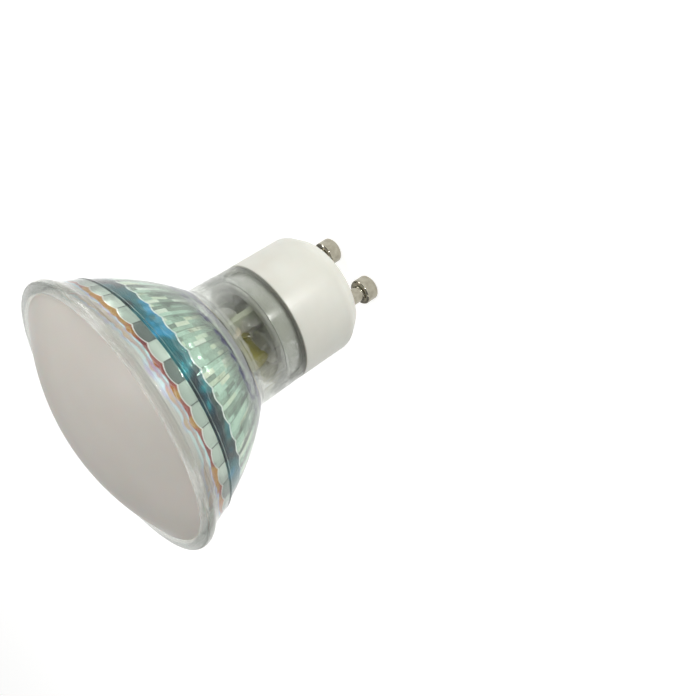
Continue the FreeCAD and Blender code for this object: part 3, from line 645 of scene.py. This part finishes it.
def moulded_pbt():
    """White moulded PBT: warm white, softly glossy, with a very fine moulded grain."""
    made, tree, shader, place = new_material("white_moulded_pbt")
    cloud = put(tree, "ShaderNodeTexNoise", {
        "Vector": (place, "Object"), "Scale": 1 / (6 * MM), "Detail": 3.0})
    tone = put(tree, "ShaderNodeValToRGB", {0: (cloud, 0)}, stops=[(0.3, "#BBBAB0"), (0.7, "#C1C1B8")])
    grain = put(tree, "ShaderNodeTexNoise", {
        "Vector": (place, "Object"), "Scale": 1 / (0.3 * MM), "Detail": 2.0})
    bump = put(tree, "ShaderNodeBump", {"Height": (grain, 0), "Strength": 0.06, "Distance": 0.05 * MM})
    wire(tree, shader, Base_Color=(tone, 0), Normal=(bump, 0))
    fix(shader, Roughness=0.36, IOR=1.55, Subsurface_Weight=0.08, Subsurface_Scale=0.8 * MM)
    return made


def nickel_plate():
    """Bright nickel on turned brass: a warm grey mirror with rings left by the turning tool. The rings are
    drawn coarser than real ones, so that they show."""
    made, tree, shader, place = new_material("turned_nickel_plate")
    smear = put(tree, "ShaderNodeTexNoise", {
        "Vector": (place, "Object"), "Scale": 1 / (1.2 * MM), "Detail": 3.0})
    tone = put(tree, "ShaderNodeValToRGB", {0: (smear, 0)}, stops=[(0.35, "#989385"), (0.65, "#ACA899")])
    gloss = put(tree, "ShaderNodeMapRange", {0: (smear, 0), 3: 0.1, 4: 0.24})
    rings = put(tree, "ShaderNodeTexWave", {
        "Vector": (place, "Object"), "Scale": 1 / (1.6 * MM), "Distortion": 0.4}, bands_direction="Z")
    bump = put(tree, "ShaderNodeBump", {"Height": (rings, 1), "Strength": 0.1, "Distance": 0.03 * MM})
    wire(tree, shader, Base_Color=(tone, 0), Roughness=(gloss, 0), Normal=(bump, 0))
    fix(shader, Metallic=1.0)
    return made


def clear_filling(name, colour, roughness, clearness):
    """A cloudy clear resin: light passes and scatters a little on faint ripples, so things behind it blur."""
    made, tree, shader, place = new_material(name)
    ripple = put(tree, "ShaderNodeTexNoise", {
        "Vector": (place, "Object"), "Scale": 1 / (1.5 * MM), "Detail": 2.0})
    bump = put(tree, "ShaderNodeBump", {"Height": (ripple, 0), "Strength": 0.2, "Distance": 0.1 * MM})
    wire(tree, shader, Normal=(bump, 0))
    fix(shader, Base_Color=linear(colour), Roughness=roughness, IOR=1.42, Transmission_Weight=clearness)
    return made


def speckled(name, first, second, grain_mm, roughness, metallic=0.0):
    """A plain finish whose two tones mix in specks of the given size."""
    made, tree, shader, place = new_material(name)
    specks = put(tree, "ShaderNodeTexNoise", {
        "Vector": (place, "Object"), "Scale": 1 / (grain_mm * MM), "Detail": 3.0})
    tone = put(tree, "ShaderNodeValToRGB", {0: (specks, 0)}, stops=[(0.35, first), (0.65, second)])
    bump = put(tree, "ShaderNodeBump", {"Height": (specks, 0), "Strength": 0.1, "Distance": 0.05 * MM})
    wire(tree, shader, Base_Color=(tone, 0), Normal=(bump, 0))
    fix(shader, Roughness=roughness, Metallic=metallic)
    return made


# Finishes of the pieces inside: two tones, size of the specks in millimetres, roughness, and the pieces
INNER_FINISHES = {
    # Printed white mask on metal, even and satin
    "solder_masked_aluminium": (("#DCDCD6", "#E6E6E0", 3.0, 0.4), ["led_board"]),
    # Cast silicone with yellow phosphor, slightly grainy
    "led_phosphor": (("#E8D88A", "#EFE6B8", 1.0, 0.4), [f"led_{number:02d}" for number in range(1, 13)]),
    # Pressed glass cloth in resin, pale green with a fine weave
    "glass_fibre_laminate": (("#A6AC96", "#B4B9A4", 0.6, 0.45), ["driver_board"]),
    # Film shrunk over a can, pale and glossy
    "shrink_sleeve": (("#CACBC4", "#D2D3CC", 1.5, 0.3), ["input_capacitor", "output_capacitor"]),
    # Wound tape, yellow and glossy
    "polyester_tape": (("#A8A03C", "#B8B04A", 1.2, 0.3), ["inductor"]),
    # Filled resin from a rough mould, black and matt
    "moulded_epoxy": (
        ("#26272A", "#303236", 0.4, 0.5),
        ["bridge_rectifier", "driver_chip", "sense_resistor_1", "sense_resistor_2", "start_resistor"],
    ),
    # Dipped and baked, tan with a slightly rough skin
    "baked_resistor_coat": (("#B79E74", "#C2AB84", 0.8, 0.45), ["fuse_resistor", "filter_capacitor"]),
    # Extruded round the wire, smooth and satin
    "cream_insulation": (
        ("#DED3BC", "#E6DCC8", 1.0, 0.4),
        ["mains_lead_left", "mains_lead_right", "led_lead_positive", "led_lead_negative"],
    ),
}


def dress_inner_pieces():
    """Give each piece inside the lamp the finish of its kind."""
    silicone = clear_filling("set_silicone", "#DCDED4", 0.15, 0.6)
    for node in ("neck_adhesive", "board_adhesive", "cover_adhesive"):
        nodes[node].data.materials.clear()
        nodes[node].data.materials.append(silicone)
    for name, (look, members) in INNER_FINISHES.items():
        finish = speckled(name, *look)
        for node in members:
            nodes[node].data.materials.clear()
            nodes[node].data.materials.append(finish)


# Stage


def floor():
    """A plain pale floor under the pins, one square that reaches far to all sides, in metres."""
    half = 30.0
    level = pin_low[2] * MM
    mesh = bpy.data.meshes.new("floor")
    corners = [(-half, -half, level), (half, -half, level), (half, half, level), (-half, half, level)]
    mesh.from_pydata(corners, [], [(0, 1, 2, 3)])
    made, _, shader, _ = new_material("pale_floor")
    fix(shader, Base_Color=linear("#D0D0CE"), Roughness=0.9)
    fix(shader, Emission_Color=linear("#FFFFFF"), Emission_Strength=0.75)
    mesh.materials.append(made)
    ground = bpy.data.objects.new("floor", mesh)
    bpy.context.scene.collection.objects.link(ground)


def lamp_light(name, place, width, height, radiance):
    """A soft light that faces the lamp's middle: place, width and height in metres, and its radiance."""
    light = bpy.data.lights.new(name, "AREA")
    light.shape = "RECTANGLE"
    light.size = width
    light.size_y = height
    light.energy = radiance * math.pi * width * height
    holder = bpy.data.objects.new(name, light)
    aim = Vector((0, 0, 22 * MM)) - Vector(place)
    holder.matrix_world = Matrix.Translation(place) @ aim.to_track_quat("-Z", "Y").to_matrix().to_4x4()
    bpy.context.scene.collection.objects.link(holder)
    return holder


def studio():
    """Dim grey surroundings, a large soft light over the lamp, one on each side, and a small low one in front
    that glints in the glass."""
    world = bpy.data.worlds.new("studio")
    bpy.context.scene.world = world
    world.use_nodes = True
    world.node_tree.nodes["Background"].inputs["Color"].default_value = linear("#FFFFFF")
    world.node_tree.nodes["Background"].inputs["Strength"].default_value = 0.3
    lamp_light("top_light", (0.0, -0.1, 0.6), 0.5, 0.5, 1.9)
    lamp_light("left_light", (0.43, -0.26, 0.2), 0.12, 0.4, 9.0)
    lamp_light("right_light", (-0.5, 0.0, 0.2), 0.06, 0.4, 3.0)
    low = lamp_light("low_light", (-0.016, -0.046, 0.0), 0.008, 0.002, 150.0)
    low.visible_camera = False
    bpy.context.scene.view_settings.view_transform = "Standard"


def camera():
    """The picture's own camera: its place, aim, roll and focal length."""
    lens = bpy.data.cameras.new("camera")
    lens.sensor_width = SENSOR
    lens.lens = SENSOR * FOCAL_PIXELS / PICTURE_WIDTH
    lens.clip_start = 0.001
    holder = bpy.data.objects.new("camera", lens)
    aim = Vector(VIEW_AIM) - Vector(VIEW_PLACE)
    facing = aim.to_track_quat("-Z", "Y").to_matrix().to_4x4()
    roll = Matrix.Rotation(math.radians(-VIEW_ROLL), 4, "Z")
    holder.matrix_world = Matrix.Translation(VIEW_PLACE) @ facing @ roll
    bpy.context.scene.collection.objects.link(holder)
    bpy.context.scene.camera = holder


glass_reflector(pressed_glass())
reflecting_coat(dichroic_coat())
front_cover(opal_polycarbonate())
base_cap(moulded_pbt())
base_sleeve(clear_filling("thin_moulded_pbt", "#DEE0D6", 0.3, 0.55))
nickel = nickel_plate()
contact_pin("left", nickel)
contact_pin("right", nickel)
dress_inner_pieces()
floor()
studio()
camera()
